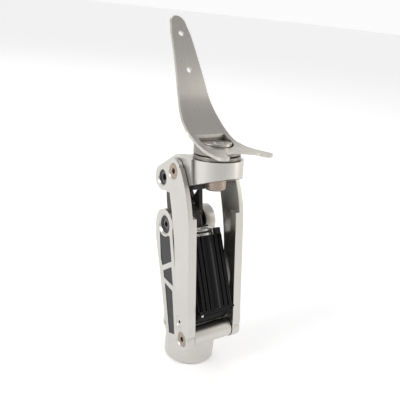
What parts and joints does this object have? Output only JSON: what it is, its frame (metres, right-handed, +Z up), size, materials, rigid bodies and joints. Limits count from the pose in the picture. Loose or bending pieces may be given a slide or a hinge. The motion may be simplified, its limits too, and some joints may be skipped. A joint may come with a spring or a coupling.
{
  "type": "four-bar prosthetic knee joint",
  "caption": "Four-bar prosthetic knee joint with side plates, a swing-phase cylinder, a tube clamp below and a forked lamination anchor with a long arm on top.",
  "frame": {"origin": "centre of the tube clamp's bottom face, on the shin tube's axis", "axes": "+Z up along the shin tube's axis, +X sideways along every pivot axis, -Y towards the front of the knee and +Y towards its back"},
  "size_m": [0.0508, 0.1109, 0.2656],
  "materials": {
    "cast_aluminium": "satin, bead blasted",
    "carbon_inlay": "woven carbon under clear lacquer",
    "bright_steel": "fine turned",
    "dark_steel": "dark, fine texture",
    "black_plastic": "semi-matte",
    "bronze": "machined",
    "tan_screw": "warm grey anodised",
    "black_rubber": "matte",
    "grey_titanium": "turned, brown grey",
    "brushed_titanium": "brushed lengthways",
    "gunmetal": "dark anodised, satin",
    "black_anodised": "black anodised, satin"
  },
  "bodies": {
    "frame": {"lower_frame": "cast_aluminium", "frame_inlays": "carbon_inlay", "clamp_screw": "bright_steel", "clamp_nut": "bright_steel", "rear_lower_axle": "dark_steel", "rear_lower_bearings": "black_plastic", "barrel_bushes": "bronze", "thrust_washers": "black_plastic"},
    "front_link": {"left_side_plate": "cast_aluminium", "right_side_plate": "cast_aluminium", "lower_front_axle": "bright_steel", "lower_pivot_screws": "tan_screw", "upper_pivot_screws": "tan_screw", "upper_front_stubs": "bright_steel", "cylinder_cross_pin": "bright_steel", "cross_pin_screws": "bright_steel"},
    "head": {"head_block": "cast_aluminium", "head_bushes": "bronze", "rear_upper_stubs": "dark_steel", "extension_buffer": "black_rubber", "head_bolt": "tan_screw", "rotation_disc": "grey_titanium", "hub_ring": "grey_titanium", "lamination_anchor": "brushed_titanium", "clamping_disc": "brushed_titanium", "top_screw": "bright_steel"},
    "rear_link": {"rear_link": "gunmetal", "rear_link_upper_bushes": "bronze", "rear_link_lower_bushes": "bronze", "rod_pin": "bright_steel"},
    "cylinder": {"cylinder_body": "black_anodised", "cylinder_foot": "black_anodised", "cylinder_foot_bush": "bronze", "gland_cap": "bright_steel", "gland_seal": "black_rubber", "stop_ring": "black_rubber", "charging_valve": "bright_steel"},
    "knob": {"damping_knob": "black_plastic"},
    "rod": {"piston_rod": "gunmetal", "piston": "dark_steel", "piston_seal": "black_rubber"}
  },
  "joints": [
    {"name": "front_link_swing", "type": "hinge", "parent": "frame", "child": "front_link", "pos_m": [0, -0.0235, 0.0329], "axis": [1, 0, 0], "range_deg": [-4, 0]},
    {"name": "knee_flexion", "type": "hinge", "parent": "front_link", "child": "head", "pos_m": [0, 0.0105, 0.1585], "axis": [1, 0, 0], "range_deg": [-120, 0]},
    {"name": "rear_link_swing", "type": "hinge", "parent": "frame", "child": "rear_link", "pos_m": [0, 0.0235, 0.1095], "axis": [1, 0, 0], "range_deg": [0, 52]},
    {"name": "cylinder_swing", "type": "hinge", "parent": "front_link", "child": "cylinder", "pos_m": [0, -0.018, 0.0455], "axis": [1, 0, 0], "range_deg": [0, 8]},
    {"name": "rod_slide", "type": "slide", "parent": "cylinder", "child": "rod", "axis": [0, 0.4399, 0.898], "range_m": [-0.0085, 0]},
    {"name": "damping_knob_turn", "type": "hinge", "parent": "cylinder", "child": "knob", "pos_m": [0.0124, -0.00216, 0.11012], "axis": [0, 0.4399, 0.898], "range_deg": [-135, 135]}
  ],
  "couplings": [
    {"joint": "front_link_swing", "follows": "knee_flexion", "ratio": 0.032},
    {"joint": "rear_link_swing", "follows": "knee_flexion", "ratio": -0.43},
    {"joint": "cylinder_swing", "follows": "knee_flexion", "ratio": -0.0665},
    {"joint": "rod_slide", "follows": "knee_flexion", "m_per_rad": 0.0038}
  ]
}
